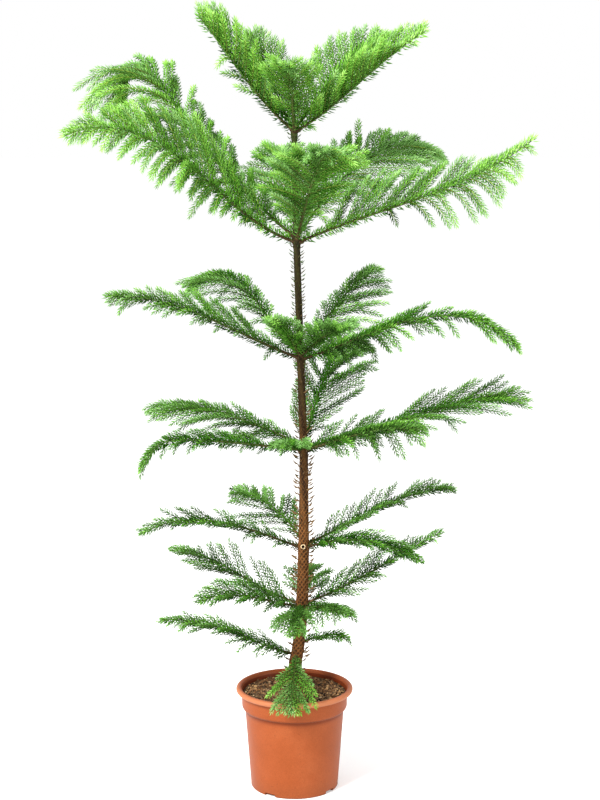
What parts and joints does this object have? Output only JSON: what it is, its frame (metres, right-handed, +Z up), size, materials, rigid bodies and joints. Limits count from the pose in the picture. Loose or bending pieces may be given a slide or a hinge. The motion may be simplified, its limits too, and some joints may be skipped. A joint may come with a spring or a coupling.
{
  "type": "potted norfolk island pine",
  "caption": "Tall young conifer in a round terracotta-coloured nursery pot: a straight leader with well-spaced whorls of flat, feathery boughs above bark compost.",
  "frame": {"origin": "centre of the pot's flat underside", "axes": "+Z up the trunk, -Y the front of the plant, +X to its right seen from the front"},
  "size_m": [0.787, 0.5235, 1.3928],
  "materials": {
    "terracotta_plastic": "satin moulded plastic",
    "bark_compost": "rough, loose",
    "bark": "rough bark with leaf scars",
    "young_bark": "green-brown young bark",
    "needles_fresh": "soft waxy needles",
    "needles_upper": "soft waxy needles",
    "needles_middle": "soft waxy needles"
  },
  "bodies": {
    "root": {"foliage_a_front": "needles_fresh", "foliage_a_left": "needles_fresh", "foliage_a_left_back": "needles_fresh", "foliage_a_right": "needles_fresh", "foliage_a_right_back": "needles_fresh", "foliage_b_back": "needles_upper", "foliage_b_front": "needles_upper", "foliage_b_left": "needles_upper", "foliage_b_left_back": "needles_upper", "foliage_b_right": "needles_upper", "foliage_b_right_back": "needles_upper", "foliage_c_front": "needles_middle", "foliage_c_left": "needles_middle", "foliage_c_left_back": "needles_middle", "foliage_c_right": "needles_middle", "foliage_c_right_back": "needles_middle", "foliage_c_right_front": "needles_middle", "foliage_d_back": "needles_middle", "foliage_d_front": "needles_middle", "foliage_d_left": "needles_middle", "foliage_d_left_back": "needles_middle", "foliage_d_right": "needles_middle", "foliage_d_right_front": "needles_middle", "foliage_e_back": "needles_middle", "foliage_e_left": "needles_middle", "foliage_e_right": "needles_middle", "foliage_e_right_front": "needles_middle", "foliage_f_back": "needles_middle", "foliage_f_front": "needles_middle", "foliage_f_left": "needles_middle", "foliage_f_left_front": "needles_middle", "foliage_f_right": "needles_middle", "foliage_f_right_front": "needles_middle", "foliage_g_front": "needles_middle", "foliage_g_left": "needles_middle", "foliage_g_right": "needles_middle", "limb_a_left": "young_bark", "limb_a_right": "young_bark", "limb_b_front": "young_bark", "limb_b_left": "young_bark", "limb_b_left_back": "young_bark", "limb_b_right": "young_bark", "limb_b_right_back": "young_bark", "limb_c_left": "young_bark", "limb_c_left_back": "young_bark", "limb_c_right": "young_bark", "limb_c_right_back": "young_bark", "limb_d_back": "young_bark", "limb_d_left": "young_bark", "limb_d_left_back": "young_bark", "limb_d_right": "young_bark", "limb_e_left": "young_bark", "limb_e_right": "young_bark", "limb_e_right_front": "young_bark", "limb_f_left": "young_bark", "limb_f_right": "young_bark", "pot": "terracotta_plastic", "soil": "bark_compost", "trunk": "bark"}
  },
  "joints": []
}
